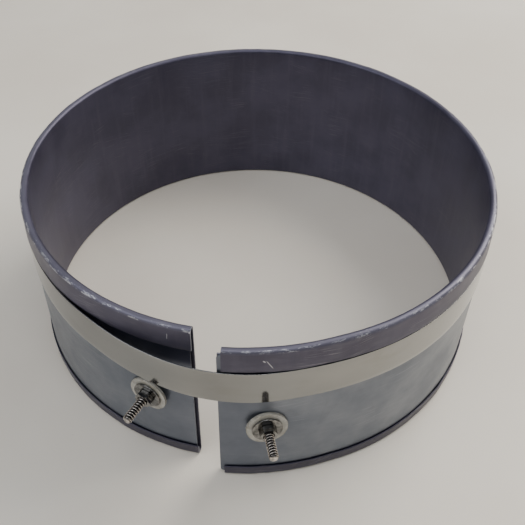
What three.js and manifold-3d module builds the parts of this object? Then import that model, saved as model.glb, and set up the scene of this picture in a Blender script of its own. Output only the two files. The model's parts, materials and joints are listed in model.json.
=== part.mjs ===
// Mica band heater with a clamp strap: a springy split ring that grips a round barrel or pipe.
//
// Millimetres, +Z up. The origin is on the ring's axis, in the plane the ring stands on.
// Angles are in degrees, counterclockwise from +X seen from above. The ring runs from its right end
// through +X, +Y and -X to its left end, and the gap between its ends faces -Y.
// The ring is built as a row of equal flat facets, and every layer of the wall shares them, so the
// layers stay parallel all the way round. A place in the wall is an angle, an offset outwards from
// the bore's wall, and a height.

import * as THREE from "three";
import { mergeVertices } from "three/addons/utils/BufferGeometryUtils.js";
import Module from "manifold-3d";

const wasm = await Module();
wasm.setup();

// ---- Driving dimensions ----

const BORE = 250;
const WIDTH = 100;

// The inner sheet, folded over at the top and bottom
const SHEET = 0.75;
const WALL = 4.25;
const TOP_HEM = 13.8;
const BOTTOM_HEM = 7.4;
const FOLD_RADIUS = { top: 2, bottom: 1.6 };
const SHEET_ENDS = [-97.2, 256.8];
const TONGUE = { length: 1, top: 5.5, bottom: 1 }; // the flat strip past the hems at the right end

// Layers inside the fold: offsets from the bore's wall, heights, and end angles
const INNER_MICA = { from: 0.8, to: 1.3, low: 3, high: 97, ends: [-95, 255.2] };
const CARD = { from: 1.52, to: 2.03, low: 8, high: 92, ends: [-83.9, 242.4] };
const OUTER_MICA = { from: 2.3, to: 2.75, low: 3, high: 97, ends: [-95, 255.2] };
const COVER = { from: 2.8, to: 3.45, low: 2.4, high: 96.8, ends: [-97.1, 256.3] };

// Heating ribbon, wound once round the card in each facet
const RIBBON = { thickness: 0.12, width: 1.7, clearance: 0.045, lead: 11 }; // width in degrees
const TAB = { from: 1.52, to: 1.67, low: 38, high: 50, past: 4.4, reach: 7.4 };
const NOTCH = { from: 0.9, to: 2.6, low: 36.5, high: 51.5, depth: 5.4 };

// Terminals
const TERMINALS = [
  { side: "right", angle: -87.1, height: 44.3, yaw: 8, pitch: 5, stand: 1.3 },
  { side: "left", angle: 245.6, height: 45.2, yaw: -3, pitch: 1, stand: 1.1 },
];
const STUD = { radius: 2.4, reach: 20.5, chamfer: 0.7, head: 4.5, headFrom: 1.72, headTo: 2.24, foot: 2 };
const STUD_HOLE = { mica: 3, cover: 4.6, reach: 3 };
const BUSH = { inner: 3, outer: 4.3 };
const MICA_WASHER = { inner: 2.75, outer: 10.3, thickness: 1.3 };
const STEEL_WASHER = { inner: 2.7, outer: 7.5, thickness: 1 };
const NUT = { flats: 8, height: 3.8, bore: 2.55 };

// Strap: it lies clear of the cover plate by LAY, and its slack bulges out across the gap
const STRAP = { thickness: 0.6, low: 64.8, high: 85.8 };
const LAY = 0.42;
const SLACK_FROM = -55;
const SLACK_STEP = -12;
const SLACK = [LAY, LAY, 1.2, 3.4, 3.3, 1.2, -1, -1.5, -1.5, -0.7, 0.05, LAY, LAY];

// Strap lock, opposite the gap
const LOCK_ANGLE = 79.25;
const BARREL = { radius: 6, low: 65.3, high: 85.3, apart: 16, out: 135.04 };
const LOOP = { radius: 6.5, turn: 258, steps: 14, lap: 0.7 };
const LOOP_FACETS = { from: 2, to: 3, tail: 4.1 };
const SLOT = { low: 128.95, high: 145, half: 6.8, reach: 34 };
const SCREW = { radius: 2.95, length: 50, flats: 10, head: 4 };
const SCREW_WASHER = { inner: 3.25, outer: 6, thickness: 1.6 };
const SEAT = 5; // the flat for the screw's washer, from the plain barrel's axis
const BARREL_BORE = { plain: 3.35, tapped: 3.2, reach: 8 };
const SEAT_CUT = { depth: 4, half: 8, height: 20 };
const RIVET = { shank: 1.8, foot: 0.05, head: 3.2, dome: 0.9, spread: 5.6, facets: 3.5 };
const RIVET_SHOULDER = { height: 0.4, radius: 0.6 }; // shares of the dome and of the head
const RIVET_HOLE = { radius: 2, top: 3 };

const GAP = 0.1; // between pieces that bear on each other
const TOUCH = 0.02; // left on the sheet under the hems that are cut away
const PAST = 1; // how far a cutting shape runs past what it cuts
const SIDES = 24; // of a round piece

// ---- The ring's shape ----

const RADIUS = BORE / 2;
const FACETS_BETWEEN_STUDS = 61;
const [RIGHT, LEFT] = TERMINALS.map((terminal) => terminal.angle);
const FACET = (LEFT - RIGHT) / FACETS_BETWEEN_STUDS; // a stud stands at the middle of a facet
const FIRST_CORNER = RIGHT + FACET / 2;
const LEFT_SPRING = { start: 170, length: 86.8, depth: 6, bend: 1.5 };
const RIGHT_FLARE = { start: -72, length: 25.2, depth: 3, bend: 1.1 };

const radians = THREE.MathUtils.degToRad;

// The left end has sprung inwards and the right end flares out.
function sprung(angle) {
  const inwards = Math.max(0, (angle - LEFT_SPRING.start) / LEFT_SPRING.length);
  const outwards = Math.max(0, (RIGHT_FLARE.start - angle) / RIGHT_FLARE.length);
  return RIGHT_FLARE.depth * outwards ** RIGHT_FLARE.bend - LEFT_SPRING.depth * inwards ** LEFT_SPRING.bend;
}

function polar(angle, radius) {
  return new THREE.Vector2(radius * Math.cos(radians(angle)), radius * Math.sin(radians(angle)));
}

// A point on the faceted ring, from above.
function onRing(angle, offset) {
  const facet = Math.floor((angle - FIRST_CORNER) / FACET);
  const start = FIRST_CORNER + facet * FACET;
  const a = polar(start, RADIUS + sprung(start) + offset);
  const b = polar(start + FACET, RADIUS + sprung(start + FACET) + offset);
  return a.lerp(b, (angle - start) / FACET);
}

// The given end angles with every facet corner between them.
function corners([from, to]) {
  const angles = [from];
  for (let k = Math.ceil((from - FIRST_CORNER) / FACET + 0.01); ; k += 1) {
    const angle = FIRST_CORNER + k * FACET;
    if (angle > to - 0.05) break;
    angles.push(angle);
  }
  return [...angles, to];
}

// ---- Solids ----

// A closed geometry as a solid that can be cut or joined.
function solid(geometry) {
  const bare = geometry.index ? geometry.toNonIndexed() : geometry.clone();
  bare.deleteAttribute("normal");
  bare.deleteAttribute("uv");
  const merged = mergeVertices(bare, 1e-4);
  const mesh = new wasm.Mesh({
    numProp: 3,
    vertProperties: merged.attributes.position.array,
    triVerts: new Uint32Array(merged.index.array),
  });
  return new wasm.Manifold(mesh);
}

function geometryOf(manifold) {
  const mesh = manifold.getMesh();
  const geometry = new THREE.BufferGeometry();
  geometry.setAttribute("position", new THREE.BufferAttribute(mesh.vertProperties, 3));
  geometry.setIndex(new THREE.BufferAttribute(mesh.triVerts, 1));
  return geometry;
}

function cut(geometry, ...tools) {
  return geometryOf(tools.reduce((body, tool) => body.subtract(solid(tool)), solid(geometry)));
}

function join(a, b) {
  return geometryOf(solid(a).add(solid(b)));
}

// A closed outline seen from above, raised between two heights.
function prism(outline, low, high) {
  const geometry = new THREE.ExtrudeGeometry(new THREE.Shape(outline), {
    depth: high - low,
    bevelEnabled: false,
  });
  return geometry.translate(0, 0, low);
}

// A curved sheet of the wall between two offsets.
function sheet({ from, to, low, high, ends }) {
  const angles = corners(ends);
  const outside = angles.map((angle) => onRing(angle, to));
  const inside = angles.map((angle) => onRing(angle, from)).reverse();
  return prism([...outside, ...inside], low, high);
}

// A profile swept through numbered stations; place turns a profile point and its station into space.
function sweep(profile, stations, place) {
  const last = stations.length - 1;
  const geometry = new THREE.ExtrudeGeometry(profile, {
    depth: last,
    steps: last,
    curveSegments: 1,
    bevelEnabled: false,
  });
  const position = geometry.attributes.position;
  for (let i = 0; i < position.count; i += 1) {
    const station = stations[Math.round(position.getZ(i))];
    const [x, y, z] = place(position.getX(i), position.getY(i), station);
    position.setXYZ(i, x, y, z);
  }
  return geometry;
}

// A solid turned about Z from points of radius and height that start and end on the axis.
function turned(...points) {
  return new THREE.LatheGeometry(
    points.map(([radius, height]) => new THREE.Vector2(radius, height)),
    SIDES,
  ).rotateX(Math.PI / 2);
}

// A flat ring or a tube about Z, between two heights.
function ring(inner, outer, low, high, sides = SIDES) {
  const round = (radius) =>
    Array.from({ length: sides }, (_, i) => polar((360 * (i + 0.5)) / sides, radius));
  const shape = new THREE.Shape(round(outer));
  shape.holes.push(new THREE.Path(round(inner)));
  const geometry = new THREE.ExtrudeGeometry(shape, { depth: high - low, bevelEnabled: false });
  return geometry.translate(0, 0, low);
}

function rod(radius, low, high) {
  return turned([0, low], [radius, low], [radius, high], [0, high]);
}

function box(low, high) {
  const size = high.map((value, i) => value - low[i]);
  const middle = high.map((value, i) => (value + low[i]) / 2);
  return new THREE.BoxGeometry(...size).translate(...middle);
}

// ---- The frame of a terminal and of the lock ----

// Local +Z points straight out of the facet at an angle, and local +Y points up.
function facetFrame(angle, offset, height) {
  const reach = (FACET / 2) * 0.9; // stays inside the facet
  const along = onRing(angle + reach, offset).sub(onRing(angle - reach, offset)).normalize();
  const out = new THREE.Vector3(along.y, -along.x, 0);
  const up = new THREE.Vector3(0, 0, 1);
  const side = new THREE.Vector3().crossVectors(up, out);
  const middle = onRing(angle, offset);
  return new THREE.Matrix4()
    .makeBasis(side, up, out)
    .setPosition(middle.x, middle.y, height);
}

// Turns local +Z from a facet's outward normal to a stud that leans by yaw and pitch from the radius.
function lean({ angle, yaw, pitch }, frame) {
  const bearing = radians(angle + yaw);
  const level = Math.cos(radians(pitch));
  const axis = new THREE.Vector3(
    level * Math.cos(bearing),
    level * Math.sin(bearing),
    Math.sin(radians(pitch)),
  );
  const normal = new THREE.Vector3().setFromMatrixColumn(frame, 2);
  return new THREE.Matrix4().makeRotationFromQuaternion(
    new THREE.Quaternion().setFromUnitVectors(normal, axis),
  );
}

// Puts an angle, an offset and a height on the ring into space.
function wallPoint(angle, offset, height) {
  const point = onRing(angle, offset);
  return [point.x, point.y, height];
}

// ---- The wall ----

// The sheet's section: a flat web with both edges folded outwards and back on themselves.
function hemProfile() {
  const { top, bottom } = FOLD_RADIUS;
  const high = WIDTH - top;
  const quarter = Math.PI / 2;
  const shape = new THREE.Shape();
  shape.moveTo(WALL, WIDTH - TOP_HEM);
  shape.absarc(WALL - top, high, top, 0, quarter);
  shape.absarc(top, high, top, quarter, 2 * quarter);
  shape.absarc(bottom, bottom, bottom, 2 * quarter, 3 * quarter);
  shape.absarc(WALL - bottom, bottom, bottom, 3 * quarter, 4 * quarter);
  shape.lineTo(WALL, BOTTOM_HEM);
  shape.lineTo(WALL - SHEET, BOTTOM_HEM);
  shape.absarc(WALL - bottom, bottom, bottom - SHEET, 4 * quarter, 3 * quarter, true);
  shape.absarc(bottom, bottom, bottom - SHEET, 3 * quarter, 2 * quarter, true);
  shape.absarc(top, high, top - SHEET, 2 * quarter, quarter, true);
  shape.absarc(WALL - top, high, top - SHEET, quarter, 0, true);
  shape.lineTo(WALL - SHEET, WIDTH - TOP_HEM);
  return shape;
}

// A block of the wall, for cutting: between two angles of one facet, two offsets and two heights.
function wallBlock([fromAngle, toAngle], [from, to], low, high) {
  const outline = [
    onRing(fromAngle, to),
    onRing(toAngle, to),
    onRing(toAngle, from),
    onRing(fromAngle, from),
  ];
  return prism(outline, low, high);
}

function sheathGeometry() {
  // Stations run clockwise, so that the profile's x, y and the sweep make a right-handed set.
  const stations = corners(SHEET_ENDS).reverse();
  const folded = sweep(hemProfile(), stations, (offset, height, angle) =>
    wallPoint(angle, offset, height),
  );
  const start = SHEET_ENDS[0];
  const span = [start - TONGUE.length / 2, start + TONGUE.length];
  const tools = [
    wallBlock(span, [SHEET + TOUCH, WALL + PAST], -PAST, WIDTH + PAST),
    wallBlock(span, [-PAST, WALL + PAST], WIDTH - TONGUE.top, WIDTH + PAST),
    wallBlock(span, [-PAST, WALL + PAST], -PAST, TONGUE.bottom),
  ];
  return cut(folded, ...tools);
}

// Holes for the two studs through a sheet of the wall.
function studHoles(radius) {
  return TERMINALS.map(({ angle, height }) =>
    rod(radius, -STUD_HOLE.reach, STUD_HOLE.reach).applyMatrix4(
      facetFrame(angle, COVER.from, height),
    ),
  );
}

function cardGeometry() {
  const [start, end] = CARD.ends;
  const notch = (from, to) => sheet({ ...NOTCH, ends: [from, to] });
  return cut(
    sheet(CARD),
    notch(start - PAST, start + NOTCH.depth),
    notch(end - NOTCH.depth, end + PAST),
  );
}

// The ribbon climbs the card's inner face and comes down its outer face once in every facet.
function ribbonGeometry() {
  const half = RIBBON.thickness / 2;
  const middle = (CARD.from + CARD.to) / 2;
  const reachOut = (CARD.to - CARD.from) / 2 + RIBBON.clearance + half;
  const centre = (CARD.low + CARD.high) / 2;
  const reachUp = (CARD.high - CARD.low) / 2 + RIBBON.clearance + half;
  const corner = (angle, out, up) => ({ angle, out, up });
  const stations = [];
  const first = 1;
  const last = FACETS_BETWEEN_STUDS - 1;
  for (let k = first; k <= last; k += 1) {
    const facet = RIGHT + k * FACET;
    const inner = facet - FACET / 4;
    const outer = facet + FACET / 4;
    if (k === first) stations.push({ angle: inner, out: -1, height: centre - RIBBON.lead });
    else stations.push(corner(inner, -1, -1));
    if (k === last) stations.push({ angle: inner, out: -1, height: centre - RIBBON.lead / 2 });
    else stations.push(corner(inner, -1, 1), corner(outer, 1, 1), corner(outer, 1, -1));
  }
  const side = RIBBON.width / 2;
  const section = new THREE.Shape([
    new THREE.Vector2(-side, -half),
    new THREE.Vector2(side, -half),
    new THREE.Vector2(side, half),
    new THREE.Vector2(-side, half),
  ]);
  return sweep(section, stations, (across, outwards, { angle, out, up, height }) =>
    wallPoint(
      angle + across,
      middle + out * (reachOut + outwards),
      height ?? centre + up * (reachUp + outwards),
    ),
  );
}

// A contact tab lies under a stud's head and over the ribbon's end.
function tabGeometry({ side, angle }) {
  const ends =
    side === "right" ? [angle - TAB.past, angle + TAB.reach] : [angle - TAB.reach, angle + TAB.past];
  return sheet({ ...TAB, ends });
}

// ---- Terminals ----

// Distances along a stud's axis are from the cover plate's outer face.
function studGeometry(leaning) {
  const { radius, reach, chamfer, head, headFrom, headTo, foot } = STUD;
  const middle = (headFrom + headTo) / 2 - COVER.to;
  const root = middle - foot;
  const shank = turned(
    [0, root],
    [radius, root],
    [radius, reach - chamfer],
    [radius - chamfer, reach],
    [0, reach],
  );
  const below = box([-head, -head, root - foot], [head, head, middle]);
  const disc = rod(head, headFrom - COVER.to, headTo - COVER.to);
  return join(cut(shank.applyMatrix4(leaning), below), disc);
}

function hexagon(flats) {
  const radius = flats / Math.sqrt(3);
  return Array.from({ length: 6 }, (_, i) => polar(60 * i, radius));
}

function nutGeometry() {
  return cut(prism(hexagon(NUT.flats), 0, NUT.height), rod(NUT.bore, -PAST, NUT.height + PAST));
}

// ---- Strap and lock ----

// The strap's inner face, from the axis. Its slack is a smooth curve through equally spaced values.
const slackCurve = new THREE.SplineCurve(SLACK.map((value, i) => new THREE.Vector2(i, value)));

function strapRadius(angle) {
  const turn = angle > 90 ? angle - 360 : angle;
  const share = (turn - SLACK_FROM) / SLACK_STEP / (SLACK.length - 1);
  const slack = share > 0 && share < 1 ? slackCurve.getPoint(share).y : LAY;
  return RADIUS + COVER.to + slack;
}

// The lock's own frame, from above: x runs clockwise along the ring and y points out.
function inLock(x, y) {
  return new THREE.Vector2(x, y).rotateAround(new THREE.Vector2(), radians(LOCK_ANGLE - 90));
}

// One rolled end, from the strap's line round its barrel and back over itself. side is 1 or -1.
function rolledEnd(side) {
  const line = (facets, lap) => {
    const angle = LOCK_ANGLE - side * facets * FACET;
    return polar(angle, strapRadius(angle) + STRAP.thickness / 2 + lap);
  };
  const centre = new THREE.Vector2(side * BARREL.apart, BARREL.out);
  const points = [line(LOOP_FACETS.from, 0)];
  const start = -90 - side * LOOP_FACETS.from * FACET;
  const turn = -side * LOOP.turn;
  for (let i = 0; i <= LOOP.steps; i += 1) {
    const place = polar(start + (turn * i) / LOOP.steps, LOOP.radius).add(centre);
    points.push(inLock(place.x, place.y));
  }
  return [...points, line(LOOP_FACETS.to, LOOP.lap), line(LOOP_FACETS.tail, LOOP.lap)];
}

// An open line thickened to both sides, with mitred corners.
function thickened(points, thickness) {
  const side = (sign) =>
    points.map((point, i) => {
      const before = points[Math.max(0, i - 1)];
      const after = points[Math.min(points.length - 1, i + 1)];
      const into = point.clone().sub(before).normalize();
      const outOf = after.clone().sub(point).normalize();
      if (i === 0) into.copy(outOf);
      if (i === points.length - 1) outOf.copy(into);
      const along = into.clone().add(outOf).normalize();
      const mitre = thickness / 2 / along.dot(into);
      return new THREE.Vector2(-along.y, along.x).multiplyScalar(sign * mitre).add(point);
    });
  return [...side(-1), ...side(1).reverse()];
}

function lockFrame(height) {
  return new THREE.Matrix4().makeRotationZ(radians(LOCK_ANGLE - 90)).setPosition(0, 0, height);
}

const LOCK_HEIGHT = (STRAP.low + STRAP.high) / 2;

function strapGeometry() {
  const start = LOCK_ANGLE - LOOP_FACETS.from * FACET;
  const end = LOCK_ANGLE + LOOP_FACETS.from * FACET - 360;
  const round = [];
  for (let angle = start - FACET; angle > end + 0.1; angle -= FACET) {
    round.push(polar(angle, strapRadius(angle) + STRAP.thickness / 2));
  }
  const line = [...rolledEnd(1).reverse(), ...round, ...rolledEnd(-1)];
  const band = prism(thickened(line, STRAP.thickness), STRAP.low, STRAP.high);
  const slot = box(
    [-SLOT.reach, SLOT.low, -SLOT.half],
    [SLOT.reach, SLOT.high, SLOT.half],
  ).applyMatrix4(lockFrame(LOCK_HEIGHT));
  const hole = ({ frame }) => rod(RIVET_HOLE.radius, -PAST, RIVET_HOLE.top).applyMatrix4(frame);
  const holes = rivetFrames().map(hole);
  return cut(band, slot, ...holes);
}

// A cross barrel with its bore along x of the lock's frame; the plain one has a flat for the washer.
function barrelGeometry(side, bore, flat) {
  const { radius, low, high, apart, out } = BARREL;
  const tools = [rod(bore, -BARREL_BORE.reach, BARREL_BORE.reach).rotateY(Math.PI / 2)];
  if (flat) {
    const { depth, half, height } = SEAT_CUT;
    tools.push(box([SEAT, -half, -height], [SEAT + depth, half, height]));
  }
  return cut(rod(radius, low - LOCK_HEIGHT, high - LOCK_HEIGHT), ...tools)
    .translate(side * apart, out, 0)
    .applyMatrix4(lockFrame(LOCK_HEIGHT));
}

function screwGeometry() {
  const { radius, length, flats, head } = SCREW;
  const shank = rod(radius, -length, head / 2);
  return join(shank, prism(hexagon(flats), 0, head));
}

// Where each rivet's axis leaves the strap's inner face.
function rivetFrames() {
  const places = [];
  for (const side of [1, -1]) {
    const angle = LOCK_ANGLE - side * RIVET.facets * FACET;
    const radius = strapRadius(angle) * Math.cos(radians(FACET / 2));
    for (const end of [-1, 1]) {
      const frame = new THREE.Matrix4()
        .makeRotationZ(radians(angle))
        .multiply(new THREE.Matrix4().makeTranslation(radius, 0, LOCK_HEIGHT + end * RIVET.spread))
        .multiply(new THREE.Matrix4().makeRotationY(Math.PI / 2));
      const name = `rivet_${end < 0 ? "lower" : "upper"}_${side > 0 ? "right" : "left"}`;
      places.push({ name, frame });
    }
  }
  return places;
}

function rivetGeometry() {
  const lap = STRAP.thickness + LOOP.lap;
  const seat = lap + GAP;
  const { shank, foot, head, dome } = RIVET;
  return turned(
    [0, foot],
    [shank, foot],
    [shank, seat],
    [head, seat],
    [head, seat + dome * RIVET_SHOULDER.height],
    [head * RIVET_SHOULDER.radius, seat + dome],
    [0, seat + dome],
  );
}

// ---- Materials ----

const material = (color, roughness, metalness) =>
  new THREE.MeshStandardMaterial({ color, roughness, metalness });
const DARK_STEEL = material(0x4a4c5a, 0.55, 0.8);
const ZINC = material(0x6f7a86, 0.5, 0.85);
const STAINLESS = material(0xa9a59b, 0.25, 1);
const PLATED = material(0xb9b3a8, 0.3, 1);
const MICA = material(0xb8b19a, 0.35, 0);
const RESISTANCE = material(0x8b8680, 0.4, 1);

// ---- Assembly ----

const heater = new THREE.Group();

function add(parent, name, geometry, finish) {
  const mesh = new THREE.Mesh(geometry, finish);
  mesh.name = name;
  parent.add(mesh);
  return mesh;
}

add(heater, "inner_sheath", sheathGeometry(), DARK_STEEL);
add(heater, "inner_mica", sheet(INNER_MICA), MICA);
add(heater, "element_card", cardGeometry(), MICA);
add(heater, "resistance_ribbon", ribbonGeometry(), RESISTANCE);
add(heater, "outer_mica", cut(sheet(OUTER_MICA), ...studHoles(STUD_HOLE.mica)), MICA);
add(heater, "cover_plate", cut(sheet(COVER), ...studHoles(STUD_HOLE.cover)), ZINC);

for (const terminal of TERMINALS) {
  const { side, angle, height, stand } = terminal;
  const frame = facetFrame(angle, COVER.to, height);
  const leaning = lean(terminal, frame);
  const upright = new THREE.Group();
  upright.applyMatrix4(frame);
  heater.add(upright);
  const local = frame.clone().setPosition(0, 0, 0);
  const leaningHere = local.clone().invert().multiply(leaning).multiply(local);
  const tilted = new THREE.Group();
  tilted.applyMatrix4(leaningHere);
  upright.add(tilted);

  add(heater, `${side}_terminal_tab`, tabGeometry(terminal), RESISTANCE);
  add(upright, `${side}_terminal_stud`, studGeometry(leaningHere), PLATED);
  const bush = ring(BUSH.inner, BUSH.outer, COVER.from - COVER.to, 0);
  add(upright, `${side}_insulating_bush`, bush, MICA);

  const steelFrom = stand + MICA_WASHER.thickness + GAP;
  const nutFrom = steelFrom + STEEL_WASHER.thickness + GAP;
  const mica = ring(MICA_WASHER.inner, MICA_WASHER.outer, 0, MICA_WASHER.thickness);
  const steel = ring(STEEL_WASHER.inner, STEEL_WASHER.outer, 0, STEEL_WASHER.thickness);
  add(tilted, `${side}_mica_washer`, mica, MICA).position.z = stand;
  add(tilted, `${side}_steel_washer`, steel, PLATED).position.z = steelFrom;
  add(tilted, `${side}_hex_nut`, nutGeometry(), PLATED).position.z = nutFrom;
}

add(heater, "clamp_strap", strapGeometry(), STAINLESS);
add(heater, "plain_barrel", barrelGeometry(1, BARREL_BORE.plain, true), PLATED);
add(heater, "tapped_barrel", barrelGeometry(-1, BARREL_BORE.tapped, false), PLATED);

// The screw lies along x of the lock's frame, with its head outside the plain barrel.
const screwLine = new THREE.Group();
screwLine.applyMatrix4(
  lockFrame(LOCK_HEIGHT)
    .multiply(new THREE.Matrix4().makeTranslation(BARREL.apart + SEAT, BARREL.out, 0))
    .multiply(new THREE.Matrix4().makeRotationY(Math.PI / 2)),
);
heater.add(screwLine);
const washer = ring(SCREW_WASHER.inner, SCREW_WASHER.outer, 0, SCREW_WASHER.thickness);
add(screwLine, "screw_washer", washer, PLATED).position.z = GAP;
const underHead = SCREW_WASHER.thickness + 2 * GAP;
add(screwLine, "clamp_screw", screwGeometry(), PLATED).position.z = underHead;

for (const { name, frame } of rivetFrames()) {
  add(heater, name, rivetGeometry(), STAINLESS).applyMatrix4(frame);
}

export default heater;
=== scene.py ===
"""Mica band heater with a clamp strap: its looks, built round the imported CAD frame.

Geometry is worked out in millimetres and becomes metres when a mesh is made. Angles are in degrees,
counterclockwise from +X seen from above. A place in the ring's wall is an angle, an offset outwards
from the bore's wall, and a height.
"""

import json
import math

import bmesh
import bpy
import numpy as np
from mathutils import Matrix, Vector, noise


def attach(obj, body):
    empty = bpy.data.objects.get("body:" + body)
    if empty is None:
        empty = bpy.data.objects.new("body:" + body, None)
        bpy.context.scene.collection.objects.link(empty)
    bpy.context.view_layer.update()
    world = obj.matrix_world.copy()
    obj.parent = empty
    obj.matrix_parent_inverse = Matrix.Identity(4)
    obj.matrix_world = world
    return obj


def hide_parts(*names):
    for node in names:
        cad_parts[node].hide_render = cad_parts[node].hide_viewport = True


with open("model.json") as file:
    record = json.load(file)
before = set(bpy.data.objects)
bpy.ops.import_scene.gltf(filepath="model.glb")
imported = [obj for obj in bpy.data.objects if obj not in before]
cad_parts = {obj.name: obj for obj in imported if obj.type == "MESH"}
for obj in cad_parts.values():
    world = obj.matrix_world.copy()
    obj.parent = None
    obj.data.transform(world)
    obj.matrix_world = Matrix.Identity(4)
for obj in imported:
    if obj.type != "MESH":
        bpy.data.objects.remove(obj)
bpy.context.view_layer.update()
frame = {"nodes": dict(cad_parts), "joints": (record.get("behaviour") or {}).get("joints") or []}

MM = 0.001

# ---- Driving dimensions, in millimetres and degrees ----

RADIUS = 125
WIDTH = 100

# The inner sheet, folded over at the top and bottom
SHEET = 0.75
WALL = 4.25
TOP_HEM = 13.8
BOTTOM_HEM = 7.4
TOP_FOLD = 2
BOTTOM_FOLD = 1.6
SHEET_ENDS = (-97.2, 256.8)
LEFT_SPRING = {"start": 170, "length": 86.8, "depth": 6, "bend": 1.5}
RIGHT_FLARE = {"start": -72, "length": 25.2, "depth": 3, "bend": 1.1}
TONGUE_LENGTH = 1
TONGUE_TOP = 5.5
TONGUE_BOTTOM = 1
HEM_WAVE = 0.1
HEM_NICKS = (  # angle, height, length, width and tilt of the scratches on the hems
    (251.6, 93.2, 4.2, 0.3, 86),
    (-86.8, 91.4, 6.6, 0.45, -61),
    (-87.9, 93.6, 1.6, 0.9, -40),
    (256.7, 98.6, 1.2, 1.4, 0),
)
HEM_LIFT = 0.28

# Layers inside the fold: offsets from the bore's wall, heights and end angles
INNER_MICA = {"offsets": (0.8, 1.3), "heights": (3, 97), "ends": (-95, 255.2)}
CARD = {"offsets": (1.52, 2.03), "heights": (8, 92), "ends": (-83.9, 242.4)}
OUTER_MICA = {"offsets": (2.3, 2.75), "heights": (3, 97), "ends": (-95, 255.2)}
COVER = {"offsets": (2.8, 3.45), "heights": (2.4, 96.8), "ends": (-97.1, 256.3)}
COVER_CORNER = 2
COVER_FACE = COVER["offsets"][1]
TAB = {"offsets": (1.52, 1.67), "heights": (38, 50)}
TAB_PAST = 4.4
TAB_REACH = 7.4
NOTCH_DEPTH = 5.4
NOTCH_HEIGHTS = (36.5, 51.5)
NOTCH_OFFSETS = (0.9, 2.6)

# Heating ribbon
RIBBON_THICKNESS = 0.12
RIBBON_WIDTH = 1.7
RIBBON_CLEARANCE = 0.045
RIBBON_LEAD = 11

# Terminals
STUD_ANGLES = {"right": -87.1, "left": 245.6}
STUD_HEIGHTS = {"right": 44.3, "left": 45.2}
STUD_RADIUS = 2.4
STUD_REACH = 20.5
STUD_PITCH = 1.5
STUD_THREAD = 0.66
STUD_ROOT_SHADE = (0.34, 0.03)  # how far below the crest the thread is all painted shade, and where it has none
STUD_HEAD = 4.5
STUD_HEAD_OFFSETS = (1.72, 2.24)
STUD_HOLE = {"mica": 3, "cover": 4.6}
BUSH_RADII = (3, 4.3)
MICA_WASHER_RADII = (2.75, 10.3)
STEEL_WASHER_RADII = (2.7, 7.5)
NUT_FLATS = 8
NUT_BORE = 2.55

# Strap: how far it stands off the cover plate, in steps clockwise across the gap
STRAP_THICKNESS = 0.6
STRAP_HEIGHTS = (64.8, 85.8)
LAY = 0.42
SLACK_FROM = -55
SLACK_STEP = -12
SLACK = (LAY, LAY, 1.2, 3.4, 3.3, 1.2, -1, -1.5, -1.5, -0.7, 0.05, LAY, LAY)

# Strap lock, opposite the gap
LOCK_ANGLE = 79.25
LOCK_HEIGHT = sum(STRAP_HEIGHTS) / 2
BARREL_RADIUS = 6
BARREL_LENGTH = 20
BARREL_APART = 16
BARREL_OUT = 135.04
BARREL_SEAT = 5
BARREL_BORE = {"plain": 3.35, "tapped": 3.2}
LOOP_RADIUS = 6.5
LOOP_TURN = 258
LOOP_STEPS = 14
LOOP_FACETS = {"from": 2, "to": 3, "tail": 4.1}
LOOP_LAP = 0.7
SLOT_OUT = (128.95, 145)
SLOT_HALF = 6.8
SLOT_REACH = 34
SCREW_RADIUS = 2.95
SCREW_LENGTH = 50
SCREW_PITCH = 1
SCREW_THREAD = 0.45
SCREW_FLATS = 10
SCREW_HEAD = 4
SCREW_WASHER_RADII = (3.25, 6)
RIVET_SHANK = 1.8
RIVET_HOLE = 2
RIVET_HEAD = 3.2
RIVET_DOME = 0.9
RIVET_SPREAD = 5.6
RIVET_FACETS = 3.5
GAP = 0.1

# The ring's facets in the CAD frame, which place the studs, the lock's loops and the ribbon
FACETS_BETWEEN_STUDS = 61
FACET = (STUD_ANGLES["left"] - STUD_ANGLES["right"]) / FACETS_BETWEEN_STUDS

STATION = 0.75  # degrees between the stations of a curved sheet
QUARTER = 8  # steps in a quarter of a small bend
RING_SEAM = -100  # an angle in the gap, where the ring's coordinates start
TOUCH = 0.02  # left on the sheet where the hems are cut away
PAST = 1  # how far a cutting shape runs past what it cuts
HOLE_REACH = 4  # of a stud's hole, either side of the cover plate
BORE_REACH = 8  # of a barrel's bore, either side of its axis
SEAT_CUT = (4, 8, 20)  # depth, half width and half height of what is cut off for the screw's seat


# ---- The ring's shape ----


def sprung(angle):
    """The left end has sprung inwards and the right end flares out."""
    left, right = LEFT_SPRING, RIGHT_FLARE
    inwards = np.maximum(0, (angle - left["start"]) / left["length"])
    outwards = np.maximum(0, (right["start"] - angle) / right["length"])
    return right["depth"] * outwards ** right["bend"] - left["depth"] * inwards ** left["bend"]


def polar(angle, radius):
    return np.array([radius * np.cos(np.radians(angle)), radius * np.sin(np.radians(angle))])


def on_wall(angle, offset, height):
    """Points of the wall; the three values may be arrays of one shape."""
    angle, offset, height = np.broadcast_arrays(angle, offset, height)
    x, y = polar(angle, RADIUS + sprung(angle) + offset)
    return np.stack([x, y, height], axis=-1)


def stations(ends):
    count = max(2, round((ends[1] - ends[0]) / STATION) + 1)
    return np.linspace(ends[0], ends[1], count)


def wobble(along, seed):
    """A smooth random value from about -1 to 1 that is the same in every run."""
    return 2 * noise.noise(Vector((along, seed * 7.31, 0.5)))


# ---- Meshes ----


def new_object(name, data):
    """A mesh, a light or a camera as an object of the scene."""
    thing = bpy.data.objects.new(name, data)
    bpy.context.scene.collection.objects.link(thing)
    return thing


def mesh_object(name, points, faces):
    """A mesh from points in millimetres, with its faces turned outwards."""
    mesh = bpy.data.meshes.new(name)
    mesh.from_pydata((np.asarray(points) * MM).tolist(), [], faces)
    shape = bmesh.new()
    shape.from_mesh(mesh)
    bmesh.ops.recalc_face_normals(shape, faces=shape.faces)
    shape.to_mesh(mesh)
    shape.free()
    return new_object(name, mesh)


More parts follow.
